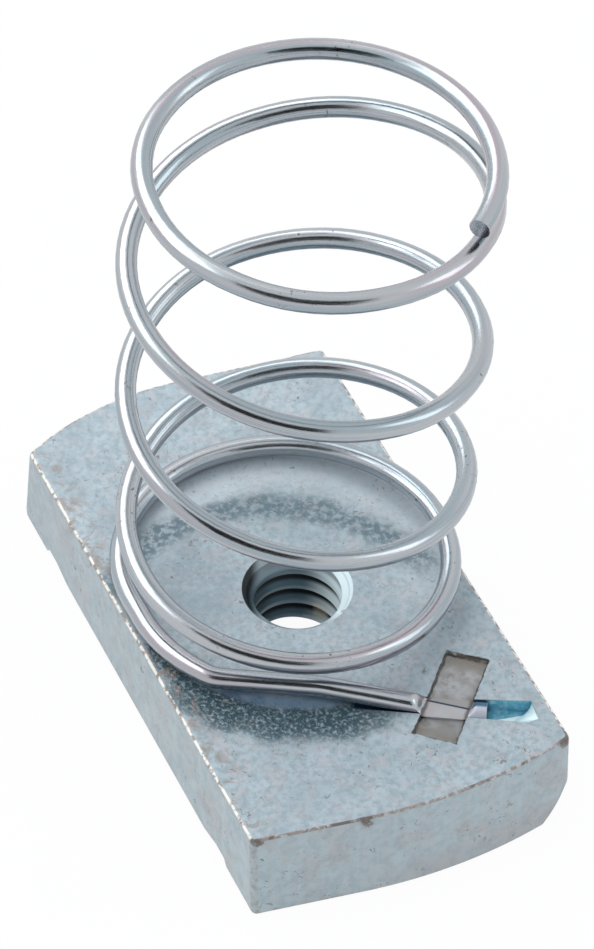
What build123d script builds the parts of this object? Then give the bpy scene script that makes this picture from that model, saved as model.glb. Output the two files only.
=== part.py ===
from build123d import *
from math import cos, radians, sin, tan
import os

# Strut channel nut with a coil spring staked to its top face.
# Millimetres, +Z up. The origin is on the thread axis, level with the underside.
# +X runs along the nut towards the staked end, +Y across it. The coil stands on the top face.

# ---- nut block ----
block_width = 20.0          # over the two long edges, passes through the channel's slot
block_thickness = 6.35      # 1/4 in stock
corner_reach = 17.3         # from the middle of the block to a sharp corner, along X
block_shift_x = -0.7        # the middle of the block lies this far from the thread axis
block_shift_y = -0.27
front_skew = 9.0            # how far each end leans out from square, in degrees
back_skew = 6.5
front_straight = 6.6        # straight stretch of each end, from the sharp corner
back_straight = 9.5
front_end_radius = 31.0     # the rest of each end is an arc
back_end_radius = 17.5
front_round = 0.5           # rounded corner at the far end of each arc
back_round = 0.6
sharp_round = 0.35          # the two sharp corners
edge_round = 0.3            # all round the top and bottom face
front_flare = 0.2           # each end was sheared: its foot stands out past its top edge
back_flare = 1.2
front_roll_height = 3.2     # the foot of the corner at the far end of each arc is rolled under
front_roll_depth = 0.95
back_roll_height = 1.5
back_roll_depth = 0.3

# ---- thread and its countersink ----
bore_radius = 2.6           # minor radius of the 1/4-20 thread
top_sink_radius = 3.27

# ---- raised seat round the hole ----
seat_radius = 8.5           # flat part
seat_slope = 0.8            # width of its soft edge
seat_height = 0.25

# ---- lip grooves across the underside, mirrored about the middle of the block ----
lip_floor_start = 12.2      # where the floor starts, from the middle of the block
lip_floor_width = 1.15
lip_slope_run = 2.7         # the slope on the inner side of the floor
lip_wall_run = 0.55         # the steeper wall on its outer side
lip_depth = 0.68
tooth_pitch = 1.25
tooth_depth = 0.32
tooth_land = 0.15           # flat left between two notches

# ---- spring ----
wire_diameter = 1.25
coil_radius = 9.95          # to the middle of the wire
spring_height = 30.8        # top of the free end above the top face
start_angle = 39.0          # the cut end of the wire, round from +X
end_turn_gap = 0.05         # between the closed turns at the free end
foot_gap = 0.03             # under the foot, where it rests on the seat and in its groove
landing_height = 0.07       # under the lowest turn, beside the seat
coil_lean_x = -1.55         # where the top turn's centre stands, from the foot's
coil_lean_y = 2.6
coil_foot_x = -1.4
coil_foot_y = -0.1

# ---- leg of the wire ----
leg_start_x = 5.3
leg_start_y = -7.13
leg_angle = 60.0            # round from +X
leg_length = 15.36
leg_level = 5.7             # level run over the seat
leg_ramp = 7.6              # run that slopes down into the groove
leg_sink = 0.3              # middle of the wire below the top face at the cut end
kink_back = 0.5
kink_run = 3.6
kink_turn = 27.5
kink_radius = 2.0
leg_bend_radius = 5.0

# ---- groove for the leg ----
groove_clearance = 0.06     # each side of the wire
groove_spread = 0.3         # the far wall leans away this much by the end of the groove
groove_runout = 3.1         # length past the wire's end
runout_foot = 1.7           # the foot of its end wall, back from there, at the near wall
runout_foot_far = 0.7       # and at the far wall
runout_corner = 0.6         # how much its corners are cut back at the surface

# ---- stake mark ----
stake_x = 11.2
stake_y = 4.75
stake_angle = -42.0
stake_length = 6.75
stake_width = 2.62
stake_depth = 0.3
stake_draft = 12.0
stake_on_wire = 0.14        # the wire is flattened to this depth


# How the open turns really run: turns from the cut end, share of the rise left above the
# landing turn, share of the lean, and sway along X and Y.
coil_sway = 1.0             # length that a sway of 1 stands for
coil_run = [
    (0.0, 1.000, 1.00, 0.10, -0.10),
    (0.6, 1.000, 1.00, -0.45, 0.45),
    (1.0, 1.000, 0.96, -0.05, 0.14),
    (1.5, 0.855, 0.82, -0.08, -0.53),
    (2.0, 0.643, 0.62, 0.24, 0.10),
    (2.5, 0.533, 0.52, 0.08, -0.15),
    (3.0, 0.292, 0.29, 0.06, -0.07),
    (3.5, 0.180, 0.19, 0.16, 0.38),
    (4.0, 0.034, 0.05, -0.12, -0.22),
    (4.35, 0.000, 0.02, -0.23, -0.65),
    (4.73, 0.000, 0.02, 0.0, 0.62),
]
level_turn = 0.6            # the closed turn stays level this far, then drops by one wire
coil_end_turn = 4.6         # where the coil is drawn out into the kink
arcs_per_turn = 8


def along(angle, length):
    """Point at a length and an angle round from +X."""
    return Vector(length * cos(radians(angle)), length * sin(radians(angle)), 0)


wire_radius = wire_diameter / 2
half_width = block_width / 2
lip_inner = lip_floor_start - lip_slope_run
lip_floor_end = lip_floor_start + lip_floor_width
lip_outer = lip_floor_end + lip_wall_run
top = block_thickness
middle_plane = Plane((block_shift_x, block_shift_y, 0))
front_run = Vector(front_flare, 0, -block_thickness)
back_run = Vector(-back_flare, 0, -block_thickness)
cross_plane = Plane((block_shift_x, block_shift_y, 0), x_dir=(1, 0, 0), z_dir=(0, -1, 0))

# Heights of the middle of the wire.
free_end_z = top + spring_height - wire_radius
second_turn_z = free_end_z - wire_diameter - end_turn_gap
landing_z = top + wire_radius + landing_height
foot_z = top + seat_height + wire_radius + foot_gap
cut_end_z = top - leg_sink
groove_floor_z = cut_end_z - wire_radius - foot_gap

# The leg stands in an upright plane of its own: x runs along the leg, y is up.
leg_direction = along(leg_angle, 1)
leg_start = (leg_start_x, leg_start_y, 0)
leg_plane = Plane(leg_start, x_dir=leg_direction, z_dir=along(leg_angle - 90, 1))
# The leg from above: x along the leg, y towards the middle of the nut.
leg_top_plane = Plane(leg_start, x_dir=leg_direction, z_dir=(0, 0, 1)).offset(top)
stake_plane = Plane((stake_x, stake_y, 0), x_dir=along(stake_angle, 1), z_dir=(0, 0, 1)).offset(top)


def outermost(vertices, x_way, y_way, z_way=0):
    """The vertex that lies farthest out in a direction."""
    return vertices.sort_by(Axis((0, 0, 0), (x_way, y_way, z_way)))[-1]


def run_value(turn, column):
    """One column of coil_run at any turn, in straight steps between its rows."""
    for low, high in zip(coil_run, coil_run[1:]):
        if turn <= high[0]:
            share = (turn - low[0]) / (high[0] - low[0])
            return low[column] + share * (high[column] - low[column])
    return coil_run[-1][column]


def coil_point(turn):
    """Middle of the wire, a number of turns from its cut end. The coil is left handed."""
    if turn < 1:
        drop = max(0.0, (turn - level_turn) / (1 - level_turn))
        z = free_end_z + (second_turn_z - free_end_z) * drop
    else:
        z = landing_z + (second_turn_z - landing_z) * run_value(turn, 1)
    lean = run_value(turn, 2)
    centre_x = coil_foot_x + coil_lean_x * lean + coil_sway * run_value(turn, 3)
    centre_y = coil_foot_y + coil_lean_y * lean + coil_sway * run_value(turn, 4)
    return Vector(centre_x, centre_y, z) + along(start_angle + 360 * turn, coil_radius)


def coil_corner(turn):
    """Corner outside the coil that one of its arcs rounds off, at the middle of that arc."""
    outside = coil_radius / cos(radians(180 / arcs_per_turn)) - coil_radius
    return coil_point(turn) + along(start_angle + 360 * turn, outside)


def bend_radius(before, corner, after, before_share=0.49, after_share=0.49):
    """Radius that rounds a corner over at most these shares of the runs on both its sides."""
    run_in, run_out = corner - before, after - corner
    reach = min(before_share * run_in.length, after_share * run_out.length)
    return reach / tan(radians(run_in.get_angle(run_out) / 2))


# ---------------------------------------------------------------- nut block
with BuildPart() as nut_body:
    # The front end: it leans out from its sharp corner, then curves back in. The arc runs on
    # past the long side and the width trims it. Extruded down and outwards, as it was sheared.
    with BuildSketch(middle_plane.offset(top)) as front_outline:
        with BuildLine():
            front_side = Line((corner_reach, -half_width),
                              (corner_reach + front_straight * sin(radians(front_skew)),
                               -half_width + front_straight * cos(radians(front_skew))))
            front_arc = JernArc(front_side @ 1, front_side % 1, front_end_radius, 60)
            Polyline(front_arc @ 1, (-2 * corner_reach, block_width),
                     (-2 * corner_reach, -half_width), front_side @ 0)
        make_face()
        Rectangle(5 * corner_reach, block_width, mode=Mode.INTERSECT)
        fillet(outermost(front_outline.vertices(), 1, -1), sharp_round)
        fillet(outermost(front_outline.vertices(), 1, 1), front_round)
    extrude(amount=front_run.length, dir=front_run)

    # The back end is made the same way, and trims the block.
    with BuildSketch(middle_plane.offset(top)) as back_outline:
        with BuildLine():
            back_side = Line((-corner_reach, half_width),
                             (-corner_reach - back_straight * sin(radians(back_skew)),
                              half_width - back_straight * cos(radians(back_skew))))
            back_arc = JernArc(back_side @ 1, back_side % 1, back_end_radius, 60)
            Polyline(back_arc @ 1, (2 * corner_reach, -block_width),
                     (2 * corner_reach, half_width), back_side @ 0)
        make_face()
        Rectangle(5 * corner_reach, block_width, mode=Mode.INTERSECT)
        fillet(outermost(back_outline.vertices(), -1, 1), sharp_round)
        fillet(outermost(back_outline.vertices(), -1, -1), back_round)
    extrude(amount=back_run.length, dir=back_run, mode=Mode.INTERSECT)
    fillet(nut_body.faces().sort_by(Axis.Z)[-1].edges(), edge_round)
    fillet(nut_body.faces().sort_by(Axis.Z)[0].edges(), edge_round)

    # The foot of the corner at the far end of each arc, rolled under.
    for side, end_flare, roll_height, roll_depth in (
            (1, front_flare, front_roll_height, front_roll_depth),
            (-1, back_flare, back_roll_height, back_roll_depth)):
        corner = outermost(nut_body.vertices(), side, side, -0.1)
        roll_plane = Plane((corner.X, corner.Y, 0), x_dir=(side, side, 0), z_dir=(side, -side, 0))
        with BuildSketch(roll_plane):
            with BuildLine():
                roll = TangentArc((0, roll_height), (-roll_depth, 0), tangent=(0, -1))
                Polyline(roll @ 1, (-roll_depth, -roll_height), (roll_height, -roll_height),
                         (roll_height, roll_height), roll @ 0)
            make_face()
        extrude(amount=block_width / 2, both=True, mode=Mode.SUBTRACT)

    # Raised round seat for the coil's foot.
    with Locations((0, 0, top)):
        Cone(seat_radius + seat_slope, seat_radius, seat_height,
             align=(Align.CENTER, Align.CENTER, Align.MIN))

    # Tapping hole, countersunk from the spring's side.
    with Locations((0, 0, top + seat_height)):
        CounterSinkHole(bore_radius, top_sink_radius, counter_sink_angle=90)

    # Lip grooves right across the underside, and the teeth in their floors.
    with BuildSketch(cross_plane):
        Polygon((lip_inner, 0), (lip_floor_start, lip_depth), (lip_floor_end, lip_depth),
                (lip_outer, 0), (lip_outer, -lip_depth), (lip_inner, -lip_depth), align=None)
        mirror(about=Plane.YZ)
    extrude(amount=block_width, both=True, mode=Mode.SUBTRACT)
    tooth_count = int(block_width / tooth_pitch) - 1
    tooth_half = (tooth_pitch - tooth_land) / 2
    for side in (1, -1):
        tooth_plane = Plane((block_shift_x + side * lip_floor_start, block_shift_y, lip_depth),
                            x_dir=(0, 1, 0), z_dir=(1, 0, 0))
        with BuildSketch(tooth_plane):
            with GridLocations(tooth_pitch, 0, tooth_count, 1):
                Polygon((-tooth_half, -lip_depth / 2), (tooth_half, -lip_depth / 2),
                        (tooth_half, 0), (0, tooth_depth), (-tooth_half, 0), align=None)
        extrude(amount=side * lip_floor_width, mode=Mode.SUBTRACT)

    # Groove that the leg lies in: its floor follows the wire down from the seat.
    groove_half = wire_radius + groove_clearance
    groove_bend = leg_level + leg_ramp
    with BuildSketch(leg_plane):
        Polygon((leg_level, top + seat_height), (groove_bend, groove_floor_z),
                (leg_length, groove_floor_z), (leg_length, top + wire_diameter),
                (leg_level, top + wire_diameter), align=None)
    extrude(amount=groove_half, both=True, mode=Mode.SUBTRACT)

    # Run-out of the groove past the wire's end: the far wall leans away and the end wall
    # slants up to the surface.
    groove_end = leg_length + groove_runout
    far_side = groove_half + groove_spread
    with BuildSketch(leg_top_plane.offset(groove_floor_z - top)):
        Polygon((groove_bend, -groove_half), (leg_length, -groove_half),
                (groove_end - runout_foot, 0), (groove_end - runout_foot_far, far_side),
                (groove_bend, groove_half), align=None)
    with BuildSketch(leg_top_plane):
        Polygon((groove_bend, -groove_half), (groove_end - runout_corner, -groove_half),
                (groove_end, -groove_half / 2), (groove_end - runout_corner, far_side),
                (groove_bend, groove_half), align=None)
    loft(ruled=True, mode=Mode.SUBTRACT)

    # Stake mark punched across the groove.
    with BuildSketch(stake_plane):
        Rectangle(stake_length, stake_width)
    extrude(amount=-stake_depth, taper=stake_draft, mode=Mode.SUBTRACT)

nut_body.part.label = "nut_body"

# ---------------------------------------------------------------- spring
kink = Vector(leg_start) - leg_direction * kink_back + Vector(0, 0, foot_z)
kink_entry = kink - along(leg_angle - kink_turn, kink_run)
coil_corners = [coil_corner((step + 0.5) / arcs_per_turn)
                for step in range(int(coil_end_turn * arcs_per_turn) + 1)]
wire_corners = [coil_point(0), *coil_corners, kink_entry, kink,
                Vector(leg_start) + leg_direction * leg_level + Vector(0, 0, foot_z),
                Vector(leg_start) + leg_direction * groove_bend + Vector(0, 0, cut_end_z),
                Vector(leg_start) + leg_direction * leg_length + Vector(0, 0, cut_end_z)]
coil_bends = [bend_radius(*wire_corners[:3], before_share=0.98)]
coil_bends += [bend_radius(*wire_corners[step:step + 3]) for step in range(1, len(coil_corners))]
kink_reach = kink_radius * tan(radians(kink_turn / 2))
coil_bends += [bend_radius(coil_corners[-1], kink_entry, kink,
                           after_share=0.98 * (1 - kink_reach / kink_run))]

with BuildPart() as coil_spring:
    with BuildLine() as wire_path:
        FilletPolyline(*wire_corners,
                       radius=[*coil_bends, kink_radius, leg_bend_radius, leg_bend_radius])
    with BuildSketch(Plane(wire_path.line @ 0, z_dir=wire_path.line % 0)):
        Circle(wire_radius)
    sweep(path=wire_path.line)

    # The stake presses the wire flat where it crosses.
    with BuildSketch(stake_plane.offset(-stake_on_wire)):
        Rectangle(stake_length, stake_width)
    extrude(amount=wire_diameter, mode=Mode.SUBTRACT)

coil_spring.part.label = "coil_spring"

os.makedirs("parts", exist_ok=True)
export_step(nut_body.part, "parts/nut_body.step")
export_step(coil_spring.part, "parts/coil_spring.step")
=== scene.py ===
import bpy
from math import cos, pi, radians, sin, tan
from mathutils import Matrix, Vector


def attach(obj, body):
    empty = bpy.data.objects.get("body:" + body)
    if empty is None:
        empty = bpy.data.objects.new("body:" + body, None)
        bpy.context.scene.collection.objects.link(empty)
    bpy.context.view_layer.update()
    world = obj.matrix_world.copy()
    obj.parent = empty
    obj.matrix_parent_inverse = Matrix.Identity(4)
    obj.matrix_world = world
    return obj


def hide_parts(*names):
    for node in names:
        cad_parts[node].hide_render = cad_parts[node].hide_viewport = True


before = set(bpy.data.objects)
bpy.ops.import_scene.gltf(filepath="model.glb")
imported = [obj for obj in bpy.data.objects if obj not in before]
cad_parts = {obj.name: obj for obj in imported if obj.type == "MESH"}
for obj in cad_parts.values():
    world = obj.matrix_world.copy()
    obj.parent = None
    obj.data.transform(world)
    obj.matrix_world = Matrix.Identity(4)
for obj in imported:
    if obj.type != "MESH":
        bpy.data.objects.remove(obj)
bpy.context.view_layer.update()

mm = 0.001
scene = bpy.context.scene


def deselectAll():
    for thing in bpy.context.selected_objects:
        thing.select_set(False)


def makeActive(thing):
    deselectAll()
    thing.select_set(True)
    bpy.context.view_layer.objects.active = thing


def applyAll(thing):
    makeActive(thing)
    for modifier in list(thing.modifiers):
        bpy.ops.object.modifier_apply(modifier=modifier.name)


# ---- camera ----
print("camera")
cameraPlan = {
    "place": (189.149, -84.843, 230.878),      # mm
    "right": (0.40737, 0.91326, 0.00180),
    "up": (-0.65740, 0.29190, 0.69470),
    "lens": 196.51,
}
bpy.ops.object.camera_add()
camera = bpy.context.object
camera.name = "camera"
rightWay = Vector(cameraPlan["right"]).normalized()
upWay = Vector(cameraPlan["up"])
upWay = (upWay - rightWay * upWay.dot(rightWay)).normalized()
backWay = rightWay.cross(upWay)
camera.matrix_world = Matrix((
    (rightWay.x, upWay.x, backWay.x, cameraPlan["place"][0] * mm),
    (rightWay.y, upWay.y, backWay.y, cameraPlan["place"][1] * mm),
    (rightWay.z, upWay.z, backWay.z, cameraPlan["place"][2] * mm),
    (0, 0, 0, 1)))
camera.data.sensor_width = 36
camera.data.sensor_fit = "AUTO"
camera.data.lens = cameraPlan["lens"]
camera.data.clip_start = 0.01
camera.data.clip_end = 10
scene.camera = camera


# ---- shader helpers ----
def node(tree, kind, **settings):
    made = tree.nodes.new("ShaderNode" + kind)
    for key, value in settings.items():
        if key in made.bl_rna.properties:
            setattr(made, key, value)
        else:
            made.inputs[key.replace("_", " ")].default_value = value
    return made


def link(tree, source, target):
    tree.links.new(source, target)


def mathNode(tree, operation, first, second=None):
    made = tree.nodes.new("ShaderNodeMath")
    made.operation = operation
    for index, value in enumerate((first, second)):
        if value is None:
            continue
        if isinstance(value, (int, float)):
            made.inputs[index].default_value = value
        else:
            tree.links.new(value, made.inputs[index])
    return made.outputs[0]


def plus(tree, first, second):
    return mathNode(tree, "ADD", first, second)


def minus(tree, first, second):
    return mathNode(tree, "SUBTRACT", first, second)


def times(tree, first, second):
    return mathNode(tree, "MULTIPLY", first, second)


def larger(tree, first, second):
    return mathNode(tree, "MAXIMUM", first, second)


def unsigned(tree, value):
    return mathNode(tree, "ABSOLUTE", value)


def band(tree, value, low, high, start=0.0, end=1.0):
    # smooth step of a value from low to high
    made = tree.nodes.new("ShaderNodeMapRange")
    made.interpolation_type = "SMOOTHSTEP"
    tree.links.new(value, made.inputs["Value"])
    made.inputs["From Min"].default_value = low
    made.inputs["From Max"].default_value = high
    made.inputs["To Min"].default_value = start
    made.inputs["To Max"].default_value = end
    return made.outputs["Result"]


def mixColour(tree, amount, first, second):
    made = tree.nodes.new("ShaderNodeMix")
    made.data_type = "RGBA"
    for socket, value in ((made.inputs[0], amount), (made.inputs[6], first), (made.inputs[7], second)):
        if isinstance(value, (int, float, tuple)):
            socket.default_value = value
        else:
            tree.links.new(value, socket)
    return made.outputs[2]


def noise(tree, place, scale, detail=2.0, rough=0.5, distortion=0.0):
    made = node(tree, "TexNoise")
    tree.links.new(place, made.inputs["Vector"])
    made.inputs["Scale"].default_value = scale
    made.inputs["Detail"].default_value = detail
    made.inputs["Roughness"].default_value = rough
    made.inputs["Distortion"].default_value = distortion
    return made.outputs["Fac"]


def both(tree, *masks):
    total = masks[0]
    for mask in masks[1:]:
        total = times(tree, total, mask)
    return total


def away(tree, place, centre):
    # distance from a point, in metres
    made = node(tree, "VectorMath")
    made.operation = "DISTANCE"
    tree.links.new(place, made.inputs[0])
    made.inputs[1].default_value = [c * mm for c in centre]
    return made.outputs["Value"]


def sideways(tree, x, y, angle):
    # how far a point lies along a level direction
    return plus(tree, times(tree, x, cos(radians(angle))),
                    times(tree, y, sin(radians(angle))))


def localPlace(tree, place, origin, angle):
    # coordinates of a flat frame that stands at a point and is turned about the upright
    made = node(tree, "Mapping")
    made.vector_type = "TEXTURE"
    made.inputs["Location"].default_value = (origin[0] * mm, origin[1] * mm, 0)
    made.inputs["Rotation"].default_value = (0, 0, radians(angle))
    tree.links.new(place, made.inputs["Vector"])
    split = node(tree, "SeparateXYZ")
    tree.links.new(made.outputs[0], split.inputs[0])
    return made.outputs[0], split.outputs


def newGroup(name, inputs, outputs):
    tree = bpy.data.node_groups.new(name, "ShaderNodeTree")
    for socketName, socketType, value in inputs:
        socket = tree.interface.new_socket(socketName, in_out="INPUT", socket_type="NodeSocket" + socketType)
        if value is not None:
            socket.default_value = value
    for socketName, socketType in outputs:
        tree.interface.new_socket(socketName, in_out="OUTPUT", socket_type="NodeSocket" + socketType)
    return tree, tree.nodes.new("NodeGroupInput"), tree.nodes.new("NodeGroupOutput")


def useGroup(tree, group, **values):
    made = tree.nodes.new("ShaderNodeGroup")
    made.node_tree = group
    for key, value in values.items():
        socket = made.inputs[key.replace("_", " ")]
        if isinstance(value, (int, float, tuple)):
            socket.default_value = value
        else:
            tree.links.new(value, socket)
    return made


def newMaterial(name):
    material = bpy.data.materials.new(name)
    material.use_nodes = True
    tree = material.node_tree
    return material, tree, tree.nodes["Principled BSDF"]


# ---- shared effects ----
print("effects")

# zinc bloom: the cloudy tint of a plated surface, with pinkish patches
zincBloom, groupIn, groupOut = newGroup("zincBloom",
                                        [("Place", "Vector", None), ("Cool", "Color", (0.40, 0.49, 0.56, 1)),
                                         ("Warm", "Color", (0.47, 0.49, 0.52, 1)),
                                         ("Deep", "Color", (0.30, 0.38, 0.44, 1))],
                                        [("Color", "Color"), ("Cloud", "Float")])
place = groupIn.outputs["Place"]
cloud = noise(zincBloom, place, 380, 5, 0.65, 0.3)
fine = noise(zincBloom, place, 2400, 4, 0.7)
patch = noise(zincBloom, place, 950, 4, 0.65, 0.5)
tint = mixColour(zincBloom, band(zincBloom, patch, 0.44, 0.64, 0, 0.85), groupIn.outputs["Cool"],
                 groupIn.outputs["Warm"])
shade = mixColour(zincBloom, band(zincBloom, cloud, 0.62, 0.34, 0, 0.42), tint, groupIn.outputs["Deep"])
grainy = mixColour(zincBloom, band(zincBloom, fine, 0.60, 0.34, 0, 0.75), shade, groupIn.outputs["Deep"])
link(zincBloom, grainy, groupOut.inputs["Color"])
link(zincBloom, cloud, groupOut.inputs["Cloud"])

# handling marks: small brown specks and short bruises where the plating is thin
plateMarks, groupIn, groupOut = newGroup(
    "plateMarks",
    [("Place", "Vector", None), ("Specks", "Float", 0.5), ("Bruises", "Float", 0.5)],
    [("Mark", "Float"), ("Bruise", "Float")])
place = groupIn.outputs["Place"]
speck = noise(plateMarks, place, 2300, 2, 0.5, 1.2)
where = noise(plateMarks, place, 330, 2, 0.5)
speckMask = times(plateMarks, band(plateMarks, speck, 0.63, 0.71), band(plateMarks, where, 0.42, 0.58))
vein = noise(plateMarks, place, 900, 2, 0.5, 2.2)
veinLine = band(plateMarks, unsigned(plateMarks, minus(plateMarks, vein, 0.5)), 0.022, 0.0)
veinWhere = band(plateMarks, noise(plateMarks, place, 420, 2, 0.5, 0.6), 0.50, 0.62)
veinMask = times(plateMarks, veinLine, veinWhere)
link(plateMarks, times(plateMarks, speckMask, groupIn.outputs["Specks"]), groupOut.inputs["Mark"])
link(plateMarks, times(plateMarks, veinMask, groupIn.outputs["Bruises"]), groupOut.inputs["Bruise"])

# ---- finishes of the block, its stake mark and its groove ----
blockFinish = {
    "thickness": 6.35,       # mm, height of the top face
    "cool": (0.45, 0.545, 0.60, 1),
    "warm": (0.50, 0.495, 0.52, 1),
    "deep": (0.285, 0.36, 0.41, 1),
    "sideCool": (0.42, 0.51, 0.55, 1),
    "sideWarm": (0.43, 0.44, 0.455, 1),
    "brown": (0.13, 0.10, 0.085, 1),
    "rust": (0.30, 0.245, 0.21, 1),
    "bright": (0.68, 0.76, 0.82, 1),
    "shadeTeal": (0.042, 0.088, 0.112, 1),
    "crest": (0.115, 0.19, 0.235, 1),
    "crestShade": (0.06, 0.105, 0.13, 1),
    "crestLit": (0.40, 0.47, 0.48, 1),   # painted glow of the right wall of the thread, as if lit from the left
    "tan": (0.42, 0.38, 0.28, 1),
    "root": (0.006, 0.012, 0.016, 1),
    "shadeSlate": (0.14, 0.21, 0.25, 1),
    "shadeReflection": (0.19, 0.31, 0.45, 1),
    "edgeWearHighlight": (0.95, 0.90, 0.84, 1),
    "roughness": 0.46,
    "metal": 0.25,
    "paintedBounce": 0.8,           # strength of the glow painted in for light thrown back inside the thread
    "stain": (-1.62, 2.22, 2.1),
}
stakeMark = {
    "place": (11.2, 4.75),
    "angle": -42.0,
    "length": 6.75,
    "width": 2.62,
    "pad": (0.325, 0.32, 0.315, 1),
    "padLight": (0.44, 0.45, 0.465, 1),
    "padEnd": (0.215, 0.19, 0.155, 1),
    "tipLight": (0.50, 0.52, 0.60, 1),
    "wire": (0.44, 0.42, 0.435, 1),
    "outlineShade": (0.05, 0.04, 0.032, 1),
}
grooveMark = {
    "start": (5.3, -7.13),
    "angle": 60.0,
    "wireEnd": 15.36,
    "end": 18.46,
    "grooveTintAndShade": (0.09, 0.36, 0.50, 1),
    "gapShade": (0.012, 0.03, 0.07, 1),
    "tipShade": (0.05, 0.14, 0.24, 1),
    "ramp": (0.78, 0.95, 0.98, 1),
}

# ---- wire material ----
wireFinish = {
    "edge": 0.5,             # mm, where the pressed wire's slanted seam runs
    "light": (0.45, 0.475, 0.505, 1),
    "shade": (0.33, 0.39, 0.43, 1),
    "rose": (0.43, 0.39, 0.43, 1),
    "cut": (0.45, 0.60, 0.64, 1),
    "speck": (0.12, 0.09, 0.08, 1),
    "roughness": 0.20,
    "drawLines": 0.15,
}
wireMaterial, tree, shader = newMaterial("brightWire")
along = node(tree, "Attribute", attribute_name="wireMap")
stretch = node(tree, "Mapping")
stretch.inputs["Scale"].default_value = (1, 1, 0.03)
link(tree, along.outputs["Vector"], stretch.inputs["Vector"])
lines = noise(tree, stretch.outputs["Vector"], 9000, 3, 0.6)
broad = noise(tree, stretch.outputs["Vector"], 2600, 2, 0.5)
rosy = noise(tree, stretch.outputs["Vector"], 1700, 1, 0.5, 0.4)
dots = noise(tree, along.outputs["Vector"], 3000, 2, 0.5)
dotsWhere = noise(tree, along.outputs["Vector"], 160, 1, 0.5)
wireColour = mixColour(tree, band(tree, broad, 0.35, 0.65), wireFinish["shade"], wireFinish["light"])
wireColour = mixColour(tree, band(tree, rosy, 0.52, 0.66, 0, 0.8), wireColour, wireFinish["rose"])
speckMask = both(tree, band(tree, dots, 0.66, 0.72, 0, 0.75), band(tree, dotsWhere, 0.52, 0.60))
wireColour = mixColour(tree, speckMask, wireColour, wireFinish["speck"])
# where the stake has pressed it the wire looks like the mark, with a painted dark line of shade along its seam; past
# that it lies in shadow, painted dark above with a painted light strip below
texture = node(tree, "TexCoord")
place = texture.outputs["Object"]
split = node(tree, "SeparateXYZ")
link(tree, place, split.inputs[0])
low = band(tree, split.outputs[2], (blockFinish["thickness"] + 0.45) * mm,
           (blockFinish["thickness"] + 0.15) * mm)
stakeAxes = localPlace(tree, place, stakeMark["place"], stakeMark["angle"])[1]
legAxes = localPlace(tree, place, grooveMark["start"], grooveMark["angle"])[1]
pastSide = minus(tree, unsigned(tree, stakeAxes[1]), stakeMark["width"] / 2 * mm)
pastMark = plus(tree, pastSide, times(tree, minus(tree, noise(tree, place, 1500, 3, 0.6), 0.5), 0.3 * mm))
pressed = both(tree, band(tree, pastMark, 0.06 * mm, -0.02 * mm), low)
pressedColour = mixColour(tree, band(tree, noise(tree, place, 900, 3, 0.6), 0.38, 0.62),
                          stakeMark["padLight"], stakeMark["wire"])
slant = plus(tree, legAxes[1], times(tree, minus(tree, legAxes[0], 11.9 * mm), 0.17))
pressedColour = mixColour(tree, band(tree, slant, wireFinish["edge"] * mm, (wireFinish["edge"] + 0.06) * mm),
                          pressedColour, stakeMark["pad"])
# painted shade: a dark line along the seam, in the narrow gap beside the groove wall
seam = band(tree, unsigned(tree, minus(tree, slant, wireFinish["edge"] * mm)), 0.10 * mm, 0.03 * mm)
pressedColour = mixColour(tree, seam, pressedColour, grooveMark["gapShade"])
# painted shade along the edges of the mark
pressedColour = mixColour(tree, band(tree, pastMark, -0.30 * mm, -0.08 * mm, 0.0, 0.8), pressedColour,
                          stakeMark["outlineShade"])
wireColour = mixColour(tree, pressed, wireColour, pressedColour)
beyond = both(tree, band(tree, legAxes[0], 14.0 * mm, 14.3 * mm),
              band(tree, split.outputs[2], (blockFinish["thickness"] + 2) * mm,
                   (blockFinish["thickness"] + 1) * mm), band(tree, pastMark, 0.0, 0.12 * mm))
wireColour = mixColour(tree, beyond, wireColour, stakeMark["tipLight"])
wireColour = mixColour(tree, both(tree, beyond, band(tree, legAxes[1], -0.12 * mm, 0.06 * mm)), wireColour,
                       grooveMark["tipShade"])
mapSplit = node(tree, "SeparateXYZ")
link(tree, along.outputs["Vector"], mapSplit.inputs[0])
cutEnd = band(tree, mapSplit.outputs[2], 0.05 * mm, 0.01 * mm)      # sheared end face, dull
wireColour = mixColour(tree, cutEnd, wireColour, wireFinish["cut"])
dull = larger(tree, larger(tree, pressed, cutEnd), times(tree, beyond, 0.8))
link(tree, wireColour, shader.inputs["Base Color"])
link(tree, minus(tree, 1.0, times(tree, dull, 0.85)), shader.inputs["Metallic"])
link(tree, plus(tree, band(tree, lines, 0.3, 0.7, wireFinish["roughness"] * 0.75,
                           wireFinish["roughness"] * 1.4), times(tree, dull, 0.35)),
     shader.inputs["Roughness"])
bump = node(tree, "Bump")
bump.inputs["Strength"].default_value = wireFinish["drawLines"]
bump.inputs["Distance"].default_value = 0.00003
link(tree, lines, bump.inputs["Height"])
link(tree, bump.outputs["Normal"], shader.inputs["Normal"])

# ---- block material ----
blockMaterial, tree, shader = newMaterial("zincBlock")
texture = node(tree, "TexCoord")
place = texture.outputs["Object"]
split = node(tree, "SeparateXYZ")
link(tree, place, split.inputs[0])
facing = node(tree, "SeparateXYZ")
link(tree, texture.outputs["Normal"], facing.inputs[0])
x, y, z = split.outputs
upright = facing.outputs[2]
topZ = blockFinish["thickness"] * mm

bloom = useGroup(tree, zincBloom, Place=place, Cool=blockFinish["cool"], Warm=blockFinish["warm"],
                 Deep=blockFinish["deep"])
marks = useGroup(tree, plateMarks, Place=place, Specks=0.68, Bruises=0.4)
onTop = both(tree, band(tree, upright, 0.80, 0.93), band(tree, z, topZ - 0.5 * mm, topZ - 0.3 * mm))

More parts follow.
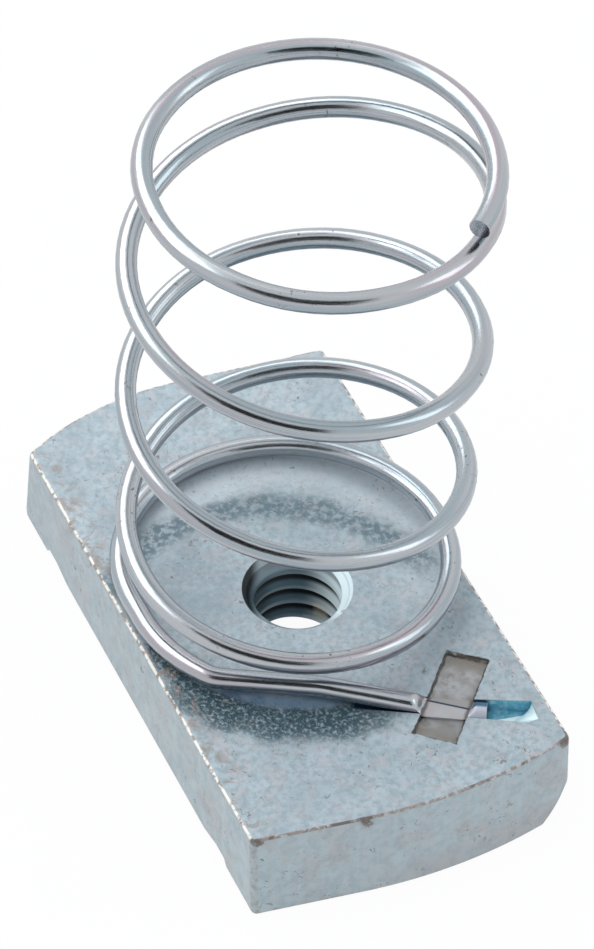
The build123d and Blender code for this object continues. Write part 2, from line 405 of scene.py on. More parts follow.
# the sides: greener, with faint upright streaks and a warmer foot
streakPlace = node(tree, "Mapping")
streakPlace.inputs["Scale"].default_value = (1, 1, 0.12)
link(tree, place, streakPlace.inputs["Vector"])
streak = noise(tree, streakPlace.outputs["Vector"], 1800, 3, 0.6)
cloudy = noise(tree, place, 420, 3, 0.6, 0.5)
sideColour = mixColour(tree, band(tree, streak, 0.35, 0.7, 0, 0.5), blockFinish["sideCool"],
                       blockFinish["sideWarm"])
foot = both(tree, band(tree, z, 2.4 * mm, 1.4 * mm), band(tree, x, 14.0 * mm, 16.0 * mm),
            band(tree, y, -6 * mm, 2 * mm))
sideColour = mixColour(tree, larger(tree, band(tree, cloudy, 0.50, 0.64, 0, 0.7),
                                    both(tree, foot, band(tree, cloudy, 0.3, 0.5, 0.5, 0.9))), sideColour,
                       blockFinish["sideWarm"])
sideGrain = noise(tree, place, 1500, 4, 0.7)
sideColour = mixColour(tree, band(tree, sideGrain, 0.58, 0.36, 0, 0.45), sideColour, blockFinish["deep"])
colour = mixColour(tree, onTop, sideColour, bloom.outputs["Color"])

# painted shade under the coil: a dark sparkling crescent in front of the coil, with painted glints, smooth and violet
# at its inner edge where the wire's shade and reflection are painted
shadeCrescentPlan = {
    "centre": (0, 0, 6.35),  # mm
    "front": -30,            # degrees, the middle of the crescent
    "left": -62,             # its tail beside the coil
    "wander": 2.4,           # how far its edges stray
}
radial = away(tree, place, shadeCrescentPlan["centre"])
wander = noise(tree, place, 330, 3, 0.6)
radialRough = plus(tree, radial, times(tree, minus(tree, wander, 0.5), shadeCrescentPlan["wander"] * mm))
forward = sideways(tree, x, y, shadeCrescentPlan["front"])
towardFront = mathNode(tree, "DIVIDE", forward, radial)
front = band(tree, towardFront, 0.68, 0.93)
shadeCrescent = both(tree, band(tree, radialRough, 8.8 * mm, 9.7 * mm),
                band(tree, radialRough, 12.6 * mm, 10.8 * mm), front, onTop)
leftward = sideways(tree, x, y, shadeCrescentPlan["left"])
besideCoil = both(tree, band(tree, mathNode(tree, "DIVIDE", leftward, radial), 0.86, 0.93),
                  band(tree, radialRough, 8.8 * mm, 9.2 * mm), band(tree, radialRough, 10.6 * mm, 9.7 * mm),
                  onTop)
shadeCrescent = larger(tree, shadeCrescent, besideCoil)
sparkle = noise(tree, place, 4600, 2, 0.6, 0.3)
shadeSparkle = both(tree, shadeCrescent, band(tree, sparkle, 0.60, 0.42, 0.35, 1.0))
colour = mixColour(tree, both(tree, shadeCrescent, band(tree, shadeCrescent, 0, 0.6)), colour, blockFinish["shadeSlate"])
colour = mixColour(tree, shadeSparkle, colour, blockFinish["shadeTeal"])
# painted glints: sparkles in the painted shade lifted back to the plating's own colour
colour = mixColour(tree, both(tree, shadeCrescent, band(tree, sparkle, 0.53, 0.70, 0, 0.65)), colour,
                   blockFinish["cool"])
# painted shade and reflection of the wire: the smooth violet-blue strip at the crescent's inner edge
shadeReflection = both(tree, band(tree, radial, 8.45 * mm, 8.75 * mm), band(tree, radial, 9.4 * mm, 9.05 * mm),
              band(tree, towardFront, 0.78, 0.90), onTop)
colour = mixColour(tree, both(tree, shadeReflection, band(tree, wander, 0.2, 0.7, 0.65, 0.95)), colour,
                   blockFinish["shadeReflection"])

arcPlan = {
    "ringCentre": (-1.4, -0.1, 6.35),      # mm, of the coil's foot
    "arcCentre": (3.0, -3.0, 6.6),
    "arcRadius": 10.6,
    "patchCentre": (-2.6, -5.6, 6.35),
    "lightStrip": 0.6,
}

# painted light: a brighter strip between the seat and the coil, behind the hole, lifting the coil's shadow there
inRing = away(tree, place, arcPlan["ringCentre"])
paintedLightStrip = both(tree, band(tree, inRing, 5.5 * mm, 9.2 * mm), band(tree, inRing, 10.3 * mm, 9.7 * mm),
                band(tree, towardFront, 0.35, -0.35), onTop)
colour = mixColour(tree, times(tree, paintedLightStrip, arcPlan["lightStrip"]), colour, blockFinish["bright"])

# painted shade: a soft mottled dark arc behind the hole, under the coil
fromArc = unsigned(tree, minus(tree, away(tree, place, arcPlan["arcCentre"]), arcPlan["arcRadius"] * mm))
arcRough = plus(tree, fromArc, times(tree, minus(tree, wander, 0.5), 1.6 * mm))
shadeArc = both(tree, band(tree, arcRough, 1.45 * mm, 0.4 * mm), band(tree, x, 3.5 * mm, 0.0), onTop)
mottle = noise(tree, place, 2300, 4, 0.7)
colour = mixColour(tree, both(tree, shadeArc, band(tree, mottle, 0.60, 0.42, 0.35, 1.0)), colour,
                   blockFinish["shadeSlate"])
# darker patch left of the hole
leftPatch = both(tree, band(tree, away(tree, place, arcPlan["patchCentre"]), 4.2 * mm, 1.4 * mm), onTop)
colour = mixColour(tree, both(tree, leftPatch, band(tree, mottle, 0.62, 0.38, 0.25, 0.75)), colour,
                   blockFinish["deep"])

# specks and bruises, more of them to the front and along the left edge
colour = mixColour(tree, marks.outputs["Mark"], colour, blockFinish["brown"])
colour = mixColour(tree, marks.outputs["Bruise"], colour, blockFinish["rust"])
grime = noise(tree, place, 700, 4, 0.7, 1.0)
besideEdge = both(tree, band(tree, y, -8.2 * mm, -9.7 * mm), band(tree, grime, 0.50, 0.62), onTop)
colour = mixColour(tree, times(tree, besideEdge, 0.7), colour, blockFinish["rust"])

# worn top edges, partly wear and partly painted highlight and shade: light grains on the long sides, brown dots on the
# front
nearTop = band(tree, z, topZ - 0.40 * mm, topZ - 0.28 * mm)
turned = both(tree, band(tree, upright, 0.52, 0.66), band(tree, upright, 0.97, 0.93))
farOut = band(tree, larger(tree, unsigned(tree, plus(tree, y, 0.27 * mm)),
                             minus(tree, unsigned(tree, plus(tree, x, 0.7 * mm)), 7.0 * mm)),
              9.45 * mm, 9.6 * mm)
edge = both(tree, nearTop, turned, farOut)
grain = noise(tree, place, 2400, 2, 0.6)
edgeColour = mixColour(tree, band(tree, grain, 0.42, 0.56), blockFinish["rust"], blockFinish["edgeWearHighlight"])
frontEdge = mixColour(tree, band(tree, grain, 0.44, 0.62), blockFinish["rust"], blockFinish["warm"])
frontEdge = mixColour(tree, band(tree, grime, 0.50, 0.62), frontEdge, blockFinish["brown"])
edgeColour = mixColour(tree, band(tree, x, 16.0 * mm, 16.6 * mm), edgeColour, frontEdge)
colour = mixColour(tree, times(tree, edge, 0.9), colour, edgeColour)
rolledOver = both(tree, band(tree, upright, 0.995, 0.95), band(tree, z, 3.0 * mm, 4.5 * mm))
# dents in the front edge: place and size in mm
dents = [((17.15, -3.5, 6.1), 0.8), ((17.1, -2.7, 6.15), 0.5), ((16.6, 9.3, 6.1), 0.5),
         ((16.6, -9.95, 6.15), 0.42)]
for centre, size in dents:
    dent = band(tree, plus(tree, away(tree, place, centre), times(tree, minus(tree, grime, 0.5), 1.2 * mm)),
                size * mm, size * 0.6 * mm)
    colour = mixColour(tree, both(tree, dent, rolledOver, band(tree, grain, 0.3, 0.5, 0.6, 0.9)), colour,
                       blockFinish["brown"])
# worn upright corner
upperCorner = both(tree, band(tree, x, 16.25 * mm, 16.4 * mm), band(tree, y, -9.88 * mm, -9.98 * mm),
                   band(tree, upright, 0.3, 0.1))
colour = mixColour(tree, both(tree, upperCorner, band(tree, grain, 0.42, 0.66, 0.1, 0.6)), colour,
                   blockFinish["rust"])

bottomEdge = both(tree, band(tree, z, 0.34 * mm, 0.12 * mm), band(tree, upright, -0.97, -0.7),
                  band(tree, grain, 0.40, 0.62, 0.15, 0.75))
colour = mixColour(tree, bottomEdge, colour, blockFinish["rust"])

# thread, with painted light and shade: pale flanks, roots painted dark as shade, a right wall painted brighter as if
# lit from the left, and one real stained spot
acrossHole = mathNode(tree, "SQRT", plus(tree, times(tree, x, x), times(tree, y, y)))
inHole = both(tree, band(tree, acrossHole, 3.31 * mm, 3.28 * mm), band(tree, upright, 0.97, 0.90))
rightward = plus(tree, times(tree, x, 0.407), times(tree, y, 0.913))
litSide = band(tree, rightward, 0.2 * mm, 2.7 * mm)
# painted shade: the roots go near-black and the left flanks darker
flank = band(tree, acrossHole, 2.96 * mm, 2.72 * mm)
threadColour = mixColour(tree, flank, blockFinish["root"],
                         mixColour(tree, litSide, mixColour(tree, band(tree, rightward, -1.2 * mm, -2.2 * mm),
                                                            blockFinish["crest"], blockFinish["crestShade"]),
                                   blockFinish["cool"]))
# painted light on the upper part of the left wall
upperWall = band(tree, z, topZ - 1.3 * mm, topZ - 0.35 * mm)
threadColour = mixColour(tree, both(tree, upperWall, band(tree, rightward, -2.8 * mm, -2.1 * mm),
                                    band(tree, rightward, -1.0 * mm, 2.0 * mm, 0.7, 1.0)), threadColour,
                         blockFinish["cool"])
fromStain = plus(tree, away(tree, place, blockFinish["stain"]),
                 times(tree, minus(tree, mottle, 0.5), 0.4 * mm))
threadColour = mixColour(tree, band(tree, fromStain, 0.75 * mm, 0.45 * mm), threadColour, blockFinish["tan"])
threadColour = mixColour(tree, band(tree, fromStain, 0.20 * mm, 0.12 * mm), threadColour,
                         blockFinish["brown"])
colour = mixColour(tree, inHole, colour, threadColour)
mouthLine = both(tree, band(tree, unsigned(tree, minus(tree, acrossHole, 3.06 * mm)), 0.06 * mm, 0.02 * mm),
                 band(tree, grain, 0.35, 0.55, 0.3, 0.9))
# painted light: the thread walls glow with an emission colour that stands in for light thrown back inside the hole,
# dimmed along the mouth
paintedBounce = both(tree, inHole, minus(tree, 1.0, times(tree, mouthLine, 0.55)),
              larger(tree, both(tree, flank, litSide, band(tree, z, 0.5 * mm, 5.0 * mm, 0.35, 0.75)),
                     both(tree, upperWall, band(tree, rightward, 1.2 * mm, 2.6 * mm))))
link(tree, mixColour(tree, paintedBounce, (0, 0, 0, 1), blockFinish["crestLit"]), shader.inputs["Emission Color"])
shader.inputs["Emission Strength"].default_value = blockFinish["paintedBounce"]

# groove: blue-green walls, their own zinc tint deepened by painted shade, painted shade under the wire, and a painted
# highlight on the end facet
groovePlace, grooveAxes = localPlace(tree, place, grooveMark["start"], grooveMark["angle"])
inGroove = both(tree, band(tree, grooveAxes[0], 7.0 * mm, 7.6 * mm),
                band(tree, grooveAxes[0], (grooveMark["end"] + 0.1) * mm, (grooveMark["end"] - 0.05) * mm),
                band(tree, unsigned(tree, grooveAxes[1]), 1.15 * mm, 1.0 * mm),
                band(tree, z, topZ - 0.03 * mm, topZ - 0.09 * mm))
slit = noise(tree, groovePlace, 2600, 2, 0.5)
grooveTintAndShade = mixColour(tree, band(tree, slit, 0.35, 0.65, 0.0, 0.25), grooveMark["grooveTintAndShade"], grooveMark["ramp"])
grooveTintAndShade = mixColour(tree, band(tree, grooveAxes[0], (grooveMark["wireEnd"] + 0.3) * mm,
                             (grooveMark["wireEnd"] - 0.2) * mm), grooveTintAndShade, grooveMark["gapShade"])
# painted highlight on the slanted end facet, which faces the light
slanted = minus(tree, grooveAxes[0], times(tree, grooveAxes[1], 2.9))
facet = band(tree, slanted, (grooveMark["end"] - 2.97) * mm, (grooveMark["end"] - 2.81) * mm)
grooveTintAndShade = mixColour(tree, facet, grooveTintAndShade, grooveMark["ramp"])
colour = mixColour(tree, inGroove, colour, grooveTintAndShade)

# stake mark: lilac-grey pads with a dark outline of painted shade in its walls
stakeAxes = localPlace(tree, place, stakeMark["place"], stakeMark["angle"])[1]
ragged = times(tree, minus(tree, noise(tree, place, 1500, 3, 0.6), 0.5), 0.35 * mm)
pastEnd = minus(tree, unsigned(tree, stakeAxes[0]), stakeMark["length"] / 2 * mm)
pastSide = minus(tree, unsigned(tree, stakeAxes[1]), stakeMark["width"] / 2 * mm)
pastMark = plus(tree, larger(tree, pastEnd, pastSide), ragged)
inMark = both(tree, band(tree, pastMark, 0.06 * mm, -0.02 * mm),
              band(tree, z, topZ - 0.75 * mm, topZ - 0.6 * mm))
padCloud = noise(tree, place, 900, 3, 0.6)
padColour = mixColour(tree, band(tree, padCloud, 0.38, 0.62), stakeMark["pad"], stakeMark["padLight"])
padEnds = both(tree, band(tree, pastEnd, -1.3 * mm, -0.5 * mm), band(tree, padCloud, 0.30, 0.55, 0.25, 0.8))
padColour = mixColour(tree, padEnds, padColour, stakeMark["padEnd"])
padColour = mixColour(tree, band(tree, noise(tree, place, 1300, 4, 0.65), 0.50, 0.66, 0, 0.6), padColour,
                      stakeMark["padEnd"])
padColour = mixColour(tree, band(tree, pastMark, -0.18 * mm, -0.06 * mm, 0.0, 0.92), padColour,
                      stakeMark["outlineShade"])
colour = mixColour(tree, inMark, colour, padColour)

link(tree, colour, shader.inputs["Base Color"])
link(tree, times(tree, minus(tree, 1.0, larger(tree, inMark, times(tree, edge, 0.7))), blockFinish["metal"]),
     shader.inputs["Metallic"])
rough = band(tree, bloom.outputs["Cloud"], 0.35, 0.65, blockFinish["roughness"] + 0.08,
             blockFinish["roughness"] - 0.06)
link(tree, minus(tree, rough, times(tree, shadeCrescent, 0.12)), shader.inputs["Roughness"])
pits = noise(tree, place, 1900, 4, 0.65)
height = plus(tree, times(tree, pits, 0.5), times(tree, both(tree, sparkle, shadeCrescent), 3.0))
height = plus(tree, height, times(tree, both(tree, mottle, shadeArc), 1.0))
height = plus(tree, height, times(tree, both(tree, grain, edge), 1.5))
bump = node(tree, "Bump")
bump.inputs["Strength"].default_value = 0.4
bump.inputs["Distance"].default_value = 0.0001
link(tree, height, bump.inputs["Height"])
link(tree, bump.outputs["Normal"], shader.inputs["Normal"])

# ---- nut block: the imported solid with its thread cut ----
print("block")
threadPlan = {
    "pitch": 1.27,           # mm, 20 turns to the inch
    "majorRadius": 3.175,
    "bore": 2.62,
    "topSink": 3.29,         # radius of the countersink at the top face
    "rootFlat": 0.08,        # half of the flat at the bottom of the thread
    "low": -2.30,
    "turns": 8,
    "steps": 80,
    "bottomSink": 3.85,      # countersink on the underside, a little off centre
    "bottomAside": (-0.12, -0.28),
    "seat": 0.25,            # rise of the seat the hole opens on
}

cadBlock = bpy.data.objects["nut_body"]
block = cadBlock.copy()
block.data = cadBlock.data.copy()
block.name = "nut_block"
scene.collection.objects.link(block)
makeActive(block)
bpy.ops.object.mode_set(mode="EDIT")
bpy.ops.mesh.select_all(action="SELECT")
bpy.ops.mesh.remove_doubles(threshold=1e-7)
bpy.ops.object.mode_set(mode="OBJECT")

deselectAll()
bpy.ops.mesh.primitive_circle_add(vertices=6, fill_type="NOTHING")
cutter = bpy.context.object
cutter.name = "thread_cutter"
bore, major, flat = threadPlan["bore"], threadPlan["majorRadius"], threadPlan["rootFlat"]
slope = (major - bore) * 0.57735 + flat
corners = [(bore, -threadPlan["pitch"] / 2), (bore, -slope), (major, -flat), (major, flat), (bore, slope),
           (bore, threadPlan["pitch"] / 2)]
for vertex, (outward, upward) in zip(cutter.data.vertices, corners):
    vertex.co = (outward * mm, 0, (upward + threadPlan["low"]) * mm)
bpy.ops.object.mode_set(mode="EDIT")
bpy.ops.mesh.select_mode(type="EDGE")
bpy.ops.mesh.select_all(action="DESELECT")
bpy.ops.object.mode_set(mode="OBJECT")
for edge in cutter.data.edges:
    edge.select = set(edge.vertices) == {0, 5}
bpy.ops.object.mode_set(mode="EDIT")
bpy.ops.mesh.delete(type="EDGE")
bpy.ops.object.mode_set(mode="OBJECT")
screw = cutter.modifiers.new("thread", "SCREW")
screw.axis = "Z"
screw.angle = 2 * pi
screw.screw_offset = threadPlan["pitch"] * mm
screw.iterations = threadPlan["turns"]
screw.steps = threadPlan["steps"]
screw.render_steps = threadPlan["steps"]
screw.use_merge_vertices = False
applyAll(cutter)
bpy.ops.object.mode_set(mode="EDIT")
bpy.ops.mesh.select_all(action="SELECT")
bpy.ops.mesh.remove_doubles(threshold=1e-7)
middle = (threadPlan["low"] + threadPlan["turns"] * threadPlan["pitch"] / 2) * mm
for end in (-1, 1):      # close each end to a point on the axis
    bpy.ops.mesh.select_all(action="DESELECT")
    bpy.ops.mesh.select_non_manifold(extend=False)
    bpy.ops.object.mode_set(mode="OBJECT")
    points = cutter.data.vertices
    for edge in cutter.data.edges:
        edge.select = edge.select and all((points[i].co.z - middle) * end > 0 for i in edge.vertices)
    bpy.ops.object.mode_set(mode="EDIT")
    bpy.ops.mesh.extrude_edges_move()
    bpy.ops.mesh.merge(type="CENTER")
bpy.ops.mesh.select_all(action="SELECT")
bpy.ops.mesh.normals_make_consistent(inside=False)
bpy.ops.object.mode_set(mode="OBJECT")


def roundCutter(name, lowRadius, highRadius, lowZ, highZ, aside=(0, 0)):
    # a cone or cylinder with its sides in line with the steps of the thread
    deselectAll()
    bpy.ops.mesh.primitive_cone_add(vertices=threadPlan["steps"], radius1=lowRadius * mm,
                                    radius2=highRadius * mm, depth=(highZ - lowZ) * mm,
                                    location=(aside[0] * mm, aside[1] * mm, (lowZ + highZ) / 2 * mm))
    made = bpy.context.object
    made.name = name
    bpy.ops.object.transform_apply(location=True)
    return made


topFace = blockFinish["thickness"]
mouth = topFace + threadPlan["seat"]
topCutter = roundCutter("top_cutter", threadPlan["topSink"] - 1, threadPlan["topSink"] + 0.5, mouth - 1,
                        mouth + 0.5)
bottomCutter = roundCutter("bottom_cutter", threadPlan["bottomSink"] + 0.2, threadPlan["bottomSink"] - 1.4,
                           -0.2, 1.4, threadPlan["bottomAside"])
cutters = [cutter, topCutter, bottomCutter]
for tool in cutters:
    cut = block.modifiers.new("cut", "BOOLEAN")
    cut.operation = "DIFFERENCE"
    cut.solver = "EXACT"
    cut.object = tool
applyAll(block)
for tool in cutters:
    bpy.data.objects.remove(tool)
makeActive(block)
bpy.ops.object.mode_set(mode="EDIT")
bpy.ops.mesh.select_all(action="SELECT")
bpy.ops.mesh.remove_doubles(threshold=2e-6)
bpy.ops.mesh.dissolve_limited(angle_limit=radians(0.3))
bpy.ops.object.mode_set(mode="OBJECT")
bpy.ops.object.shade_smooth_by_angle(angle=radians(32))
even = block.modifiers.new("even", "WEIGHTED_NORMAL")     # keeps the flats flat in the light
even.mode = "FACE_AREA"
even.weight = 60
even.keep_sharp = True
applyAll(block)
block.data.materials.clear()
block.data.materials.append(blockMaterial)
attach(block, "root")
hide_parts("nut_body")
print("block faces", len(block.data.polygons))

# ---- spring wire ----
print("spring")
springPlan = {
    "wire": 1.25,            # mm
    "radius": 9.95,
    "height": 30.8,          # of the free end above the top face
    "startAngle": 39.0,
    "endGap": 0.05,
    "landing": 0.07,
    "leanX": -1.55,
    "leanY": 2.6,
    "footX": -1.4,
    "footY": -0.1,
    "seat": threadPlan["seat"],
    "footGap": 0.03,
    "levelTurn": 0.6,
    "endTurn": 4.6,
    "arcsPerTurn": 8,
}
# turns from the cut end, share of the rise left, share of the lean, sway along X and Y
coilRun = [
    (0.0, 1.000, 1.00, 0.10, -0.10), (0.6, 1.000, 1.00, -0.45, 0.45), (1.0, 1.000, 0.96, -0.05, 0.14),
    (1.5, 0.855, 0.82, -0.08, -0.53), (2.0, 0.643, 0.62, 0.24, 0.10), (2.5, 0.533, 0.52, 0.08, -0.15),
    (3.0, 0.292, 0.29, 0.06, -0.07), (3.5, 0.180, 0.19, 0.16, 0.38), (4.0, 0.034, 0.05, -0.12, -0.22),
    (4.35, 0.000, 0.02, -0.23, -0.65), (4.73, 0.000, 0.02, 0.0, 0.62)]
legPlan = {
    "start": grooveMark["start"],
    "angle": grooveMark["angle"],
    "length": grooveMark["wireEnd"],
    "level": 5.7,
    "ramp": 7.6,
    "sink": 0.3,
    "kinkBack": 0.5,
    "kinkRun": 3.6,
    "kinkTurn": 27.5,
    "kinkRadius": 2.0,
    "bendRadius": 5.0,
    "stake": stakeMark["place"],
    "stakeAngle": stakeMark["angle"],
    "stakeLength": stakeMark["length"],
    "stakeWidth": stakeMark["width"],
    "flat": 0.14,
    "rampSlope": 1.5,        # of the wire beside the pressed length
    "spread": 1.2,           # how much wider the pressed wire is
}
wireRadius = springPlan["wire"] / 2


def runValue(turn, column):
    for low, high in zip(coilRun, coilRun[1:]):
        if turn <= high[0]:
            share = (turn - low[0]) / (high[0] - low[0])
            return low[column] + share * (high[column] - low[column])
    return coilRun[-1][column]


def coilPoint(turn):
    freeEnd = topFace + springPlan["height"] - wireRadius
    second = freeEnd - springPlan["wire"] - springPlan["endGap"]
    landing = topFace + wireRadius + springPlan["landing"]
    if turn < 1:
        drop = max(0.0, (turn - springPlan["levelTurn"]) / (1 - springPlan["levelTurn"]))
        height = freeEnd + (second - freeEnd) * drop
    else:
        height = landing + (second - landing) * runValue(turn, 1)
    lean = runValue(turn, 2)
    angle = radians(springPlan["startAngle"] + 360 * turn)
    return Vector((
        springPlan["footX"] + springPlan["leanX"] * lean + runValue(turn, 3) + springPlan["radius"] * cos(angle),
        springPlan["footY"] + springPlan["leanY"] * lean + runValue(turn, 4) + springPlan["radius"] * sin(angle),
        height))


def heading(angle):
    return Vector((cos(radians(angle)), sin(radians(angle)), 0))


legWay = heading(legPlan["angle"])
legStart = Vector((*legPlan["start"], 0))
footHeight = Vector((0, 0, topFace + springPlan["seat"] + wireRadius + springPlan["footGap"]))
endHeight = Vector((0, 0, topFace - legPlan["sink"]))
kink = legStart - legWay * legPlan["kinkBack"] + footHeight
kinkEntry = kink - heading(legPlan["angle"] - legPlan["kinkTurn"]) * legPlan["kinkRun"]
arcs = springPlan["arcsPerTurn"]
outside = springPlan["radius"] / cos(pi / arcs) - springPlan["radius"]
coilCorners = [coilPoint((step + 0.5) / arcs) + heading(springPlan["startAngle"] + 360 * (step + 0.5) / arcs) * outside
               for step in range(int(springPlan["endTurn"] * arcs) + 1)]
wireCorners = [coilPoint(0), *coilCorners, kinkEntry, kink,
               legStart + legWay * legPlan["level"] + footHeight,
               legStart + legWay * (legPlan["level"] + legPlan["ramp"]) + endHeight,
               legStart + legWay * legPlan["length"] + endHeight]


def bendRadius(before, corner, after, beforeShare=0.49, afterShare=0.49):
    runIn, runOut = corner - before, after - corner
    reach = min(beforeShare * runIn.length, afterShare * runOut.length)
    return reach / tan(runIn.angle(runOut) / 2)


def roundedRun(corners, radii, turnStep, spacing):
    # straight runs with an arc at each corner, with rings close together on the leg
    path = [corners[0]]
    for before, corner, after, radius in zip(corners, corners[1:], corners[2:], radii):
        runIn, runOut = (corner - before).normalized(), (after - corner).normalized()
        turn = runIn.angle(runOut)
        start = corner - runIn * radius * tan(turn / 2)
        inward = (runOut - runIn * runOut.dot(runIn)).normalized()
        centre = start + inward * radius
        gap = (start - path[-1]).length
        count = int(gap / spacing)
        last = path[-1]
        path += [last.lerp(start, i / count) for i in range(1, count)]
        count = max(3, round(turn / turnStep))
        path += [centre + (runIn * sin(turn * i / count) - inward * cos(turn * i / count)) * radius
                 for i in range(count + 1)]
    last = path[-1]
    count = int((corners[-1] - last).length / spacing)
    return path + [last.lerp(corners[-1], i / count) for i in range(1, count + 1)]


bends = [bendRadius(*wireCorners[:3], beforeShare=0.98)]
bends += [bendRadius(*wireCorners[i:i + 3]) for i in range(1, len(coilCorners))]
kinkReach = legPlan["kinkRadius"] * tan(radians(legPlan["kinkTurn"] / 2))
bends += [bendRadius(coilCorners[-1], kinkEntry, kink,
                     afterShare=0.98 * (1 - kinkReach / legPlan["kinkRun"]))]
wirePath = roundedRun(wireCorners, [*bends, legPlan["kinkRadius"], legPlan["bendRadius"],
                                    legPlan["bendRadius"]], radians(5), 0.16)
print("wire points", len(wirePath))

# the wire as a bevelled curve, made a mesh
deselectAll()
bpy.ops.curve.primitive_nurbs_path_add()
spring = bpy.context.object
spring.name = "spring_wire"
spring.data.splines.clear()
spline = spring.data.splines.new("POLY")
spline.points.add(len(wirePath) - 1)
for point, where in zip(spline.points, wirePath):
    point.co = (where.x * mm, where.y * mm, where.z * mm, 1)
spring.data.dimensions = "3D"
spring.data.twist_mode = "MINIMUM"
spring.data.bevel_depth = wireRadius * mm
spring.data.bevel_resolution = 5
spring.data.use_fill_caps = True
makeActive(spring)
bpy.ops.object.convert(target="MESH")
spring = bpy.context.object
mesh = spring.data
ringSize = round(len(mesh.vertices) / len(wirePath))
runLength = [0.0]
for a, b in zip(wirePath, wirePath[1:]):
    runLength.append(runLength[-1] + (b - a).length)
wireMap = mesh.attributes.new("wireMap", "FLOAT_VECTOR", "POINT")
stakeWay = heading(legPlan["stakeAngle"])
stakeMiddle = Vector((*legPlan["stake"], 0))
for index, vertex in enumerate(mesh.vertices):
    ringIndex = index // ringSize
    if ringIndex >= len(wirePath):      # the end faces have vertices of their own
        ringIndex = 0 if (vertex.co / mm - wirePath[0]).length < springPlan["wire"] else len(wirePath) - 1
    around = 2 * pi * (index % ringSize) / ringSize
    wireMap.data[index].vector = (cos(around) * wireRadius * mm, sin(around) * wireRadius * mm,
                                  runLength[ringIndex] * mm)
    # pressed flat under the stake
    offset = vertex.co / mm - stakeMiddle
    lengthwise = abs(offset.x * stakeWay.x + offset.y * stakeWay.y)
    crosswise = abs(-offset.x * stakeWay.y + offset.y * stakeWay.x)
    pressedTo = topFace - legPlan["flat"] + max(0.0,
                                                crosswise - legPlan["stakeWidth"] / 2) * legPlan["rampSlope"]
    fromLeg = (vertex.co / mm - legStart).dot(Vector((-legWay.y, legWay.x, 0)))
    nearStake = lengthwise < legPlan["stakeLength"] / 2 and vertex.co.z < (topFace + 2) * mm
    if nearStake and abs(fromLeg) < 1 and vertex.co.z > pressedTo * mm:
        vertex.co.z = pressedTo * mm
    if nearStake and crosswise < legPlan["stakeWidth"] / 2:
        vertex.co += Vector((-legWay.y, legWay.x, 0)) * fromLeg * (legPlan["spread"] - 1) * mm
makeActive(spring)
bpy.ops.object.shade_smooth_by_angle(angle=radians(50))
spring.data.materials.clear()
spring.data.materials.append(wireMaterial)
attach(spring, "root")
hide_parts("coil_spring")

# ---- floor, lights ----
print("studio")
studio = {
    "floorSize": 3.0,
    "world": 0.68,           # for soft light; what is seen or mirrored is plain white
    "leftPower": 2.3,
    "leftSize": (0.80, 0.42),
    "rightPower": 0.5,
    "overheadPower": 1.9,
    "overheadWay": (-0.32, -0.36, 0.88),
}
deselectAll()
bpy.ops.mesh.primitive_plane_add(size=studio["floorSize"])
floor = bpy.context.object
floor.name = "floor"
floorMaterial, tree, shader = newMaterial("paleFloor")
shader.inputs["Base Color"].default_value = (0.94, 0.94, 0.94, 1)
shader.inputs["Roughness"].default_value = 0.9
shader.inputs["Specular IOR Level"].default_value = 0.1
glow = node(tree, "Emission", Strength=1.0)
glow.inputs["Color"].default_value = (1, 1, 1, 1)
paths = node(tree, "LightPath")
seen = larger(tree, larger(tree, paths.outputs["Is Camera Ray"], paths.outputs["Is Glossy Ray"]),
                paths.outputs["Is Transmission Ray"])
blend = node(tree, "MixShader")
link(tree, times(tree, seen, 0.95), blend.inputs[0])
link(tree, shader.outputs[0], blend.inputs[1])
link(tree, glow.outputs[0], blend.inputs[2])
link(tree, blend.outputs[0], tree.nodes["Material Output"].inputs["Surface"])
floor.data.materials.append(floorMaterial)

world = bpy.data.worlds.new("studio")
scene.world = world
world.use_nodes = True
tree = world.node_tree
background = tree.nodes["Background"]
white = node(tree, "Background", Strength=1.0)
white.inputs["Color"].default_value = (1, 1, 1, 1)
paths = node(tree, "LightPath")
blend = node(tree, "MixShader")
seen = larger(tree, larger(tree, paths.outputs["Is Camera Ray"], paths.outputs["Is Glossy Ray"]),
                paths.outputs["Is Transmission Ray"])
link(tree, seen, blend.inputs[0])
link(tree, background.outputs[0], blend.inputs[1])
link(tree, white.outputs[0], blend.inputs[2])
link(tree, blend.outputs[0], tree.nodes["World Output"].inputs["Surface"])
background.inputs["Color"].default_value = (0.93, 0.97, 1.0, 1)
background.inputs["Strength"].default_value = studio["world"]


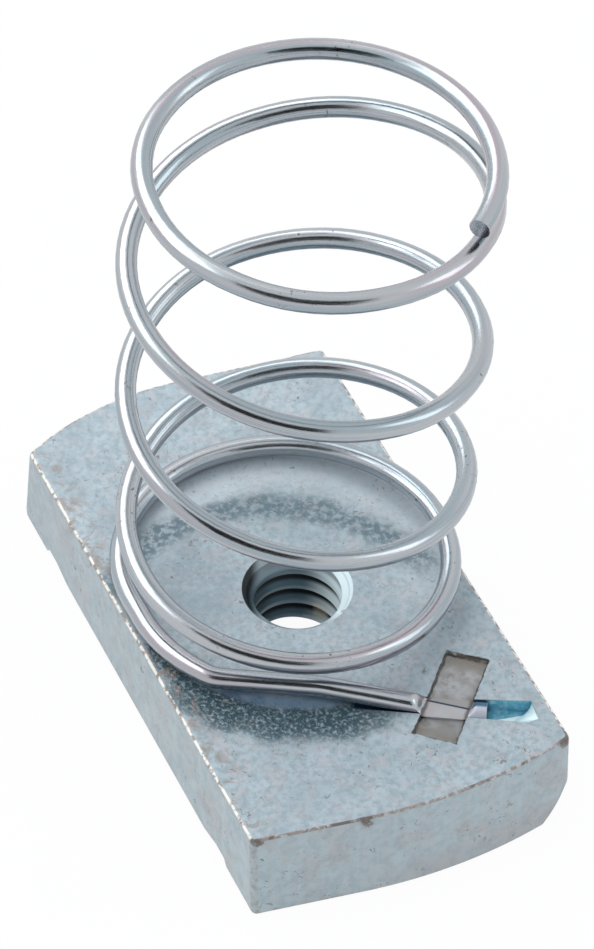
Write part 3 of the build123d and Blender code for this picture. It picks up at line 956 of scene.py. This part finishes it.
def softbox(name, toward, distance, width, height, power):
    # an area lamp that faces the coil from a direction
    deselectAll()
    way = Vector(toward).normalized()
    middle = Vector((0, 0, 0.018))
    bpy.ops.object.light_add(type="AREA", location=middle + way * distance)
    lamp = bpy.context.object
    lamp.name = name
    lamp.data.shape = "RECTANGLE"
    lamp.data.size = width
    lamp.data.size_y = height
    lamp.data.energy = power
    lamp.rotation_mode = "QUATERNION"
    lamp.rotation_quaternion = (-way).to_track_quat("-Z", "Y")
    return lamp


highlight = softbox("left_softbox", (-0.576, -0.388, 0.719), 0.6, *studio["leftSize"], studio["leftPower"])
highlight.visible_diffuse = False      # gives the long highlights of the wire
overhead = softbox("overhead_softbox", studio["overheadWay"], 0.6, 0.7, 0.7, studio["overheadPower"])
overhead.visible_glossy = False
softbox("right_softbox", (0.35, 0.75, 0.55), 0.7, 0.25, 0.45, studio["rightPower"])

# dark card behind the lens: gives the wire its dark streaks
cardPlan = {"azimuth": -32.0, "height": 46.0, "width": 0.36, "tall": 0.26, "distance": 0.34}
cardWay = heading(cardPlan["azimuth"]) * cos(radians(cardPlan["height"])) + Vector((0, 0,
                                                                                    sin(radians(cardPlan["height"]))))
cardSide = Vector((0, 0, 1)).cross(cardWay).normalized()
cardUp = cardWay.cross(cardSide)
deselectAll()
bpy.ops.mesh.primitive_plane_add(size=1)
card = bpy.context.object
card.name = "lens_card"
cardMaterial, tree, shader = newMaterial("darkCard")
shader.inputs["Base Color"].default_value = (0.01, 0.01, 0.01, 1)
shader.inputs["Roughness"].default_value = 1
card.data.materials.append(cardMaterial)
middle = cardWay * cardPlan["distance"] + Vector((0, 0, 0.018))
card.matrix_world = Matrix((
    (cardSide.x * cardPlan["width"], cardUp.x * cardPlan["tall"], cardWay.x, middle.x),
    (cardSide.y * cardPlan["width"], cardUp.y * cardPlan["tall"], cardWay.y, middle.y),
    (cardSide.z * cardPlan["width"], cardUp.z * cardPlan["tall"], cardWay.z, middle.z),
    (0, 0, 0, 1)))
card.visible_camera = False
card.visible_diffuse = False
card.visible_shadow = False

scene.view_settings.view_transform = "Standard"
